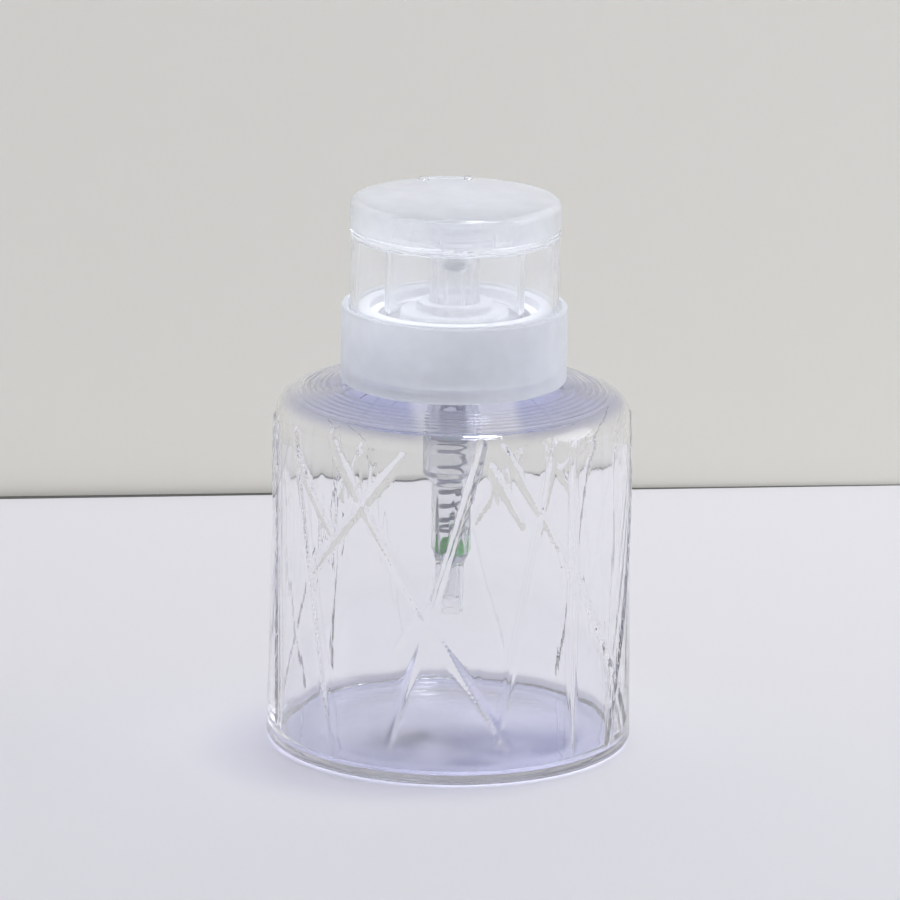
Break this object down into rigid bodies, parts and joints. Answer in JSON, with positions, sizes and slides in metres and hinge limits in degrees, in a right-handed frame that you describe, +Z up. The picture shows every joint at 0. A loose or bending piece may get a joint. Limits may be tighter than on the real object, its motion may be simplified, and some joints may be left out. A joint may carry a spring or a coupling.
{
  "type": "push-down pump dispenser bottle",
  "caption": "Clear round bottle with a screw-on push-down pump: a press dish with skirt and flip lid over a sprung piston pump with check balls.",
  "frame": {"origin": "centre of the bottle's foot, on the surface that it stands on", "axes": "+Z up along the pump, +Y towards the lid's hinge, -Y towards the lid's thumb tab"},
  "size_m": [0.068, 0.068, 0.103],
  "materials": {
    "clear_pet": "clear PET, glossy, faintly violet where it is thick",
    "natural_pp": "natural polypropylene, translucent, satin",
    "chamber_pp": "thin natural polypropylene, translucent",
    "foam_seal": "soft white foam washer",
    "tube_pe": "milky polyethylene tube",
    "piston_pe": "soft white polyethylene",
    "green_ball": "green moulded plastic ball",
    "spring_steel": "drawn stainless wire",
    "ball_steel": "polished stainless ball"
  },
  "bodies": {
    "bottle": {"bottle": "clear_pet"},
    "pump": {"pump_chamber": "chamber_pp", "neck_gasket": "foam_seal", "stem_guide": "natural_pp", "stop_bush": "natural_pp", "suction_tube": "tube_pe", "return_spring": "spring_steel"},
    "collar": {"screw_collar": "natural_pp"},
    "head": {"press_head": "natural_pp", "outlet_cap": "natural_pp", "piston_stem": "natural_pp", "piston": "piston_pe"},
    "lid": {"flip_lid": "natural_pp"},
    "inlet_ball": {"inlet_ball": "green_ball"},
    "outlet_ball": {"outlet_ball": "ball_steel"}
  },
  "joints": [
    {"name": "pump_lift", "type": "slide", "parent": "bottle", "child": "pump", "axis": [0, 0, 1], "range_m": [0, 0.004]},
    {"name": "collar_turn", "type": "hinge", "parent": "pump", "child": "collar", "pos_m": [0, 0, 0.075], "axis": [0, 0, 1], "range_deg": [0, 450]},
    {"name": "press", "type": "slide", "parent": "pump", "child": "head", "axis": [0, 0, -1], "range_m": [0, 0.008], "stiffness_N_per_m": 300, "springref_m": -0.008, "deforming": ["return_spring"]},
    {"name": "lid_hinge", "type": "hinge", "parent": "head", "child": "lid", "pos_m": [0, 0.0182, 0.101], "axis": [-1, 0, 0], "range_deg": [0, 125]},
    {"name": "inlet_ball_lift", "type": "slide", "parent": "pump", "child": "inlet_ball", "axis": [0, 0, 1], "range_m": [0, 0.002]},
    {"name": "outlet_ball_lift", "type": "slide", "parent": "head", "child": "outlet_ball", "axis": [0, 0, 1], "range_m": [0, 0.0006]}
  ],
  "couplings": [
    {"joint": "collar_turn", "follows": "pump_lift", "rad_per_m": 1963.5}
  ]
}
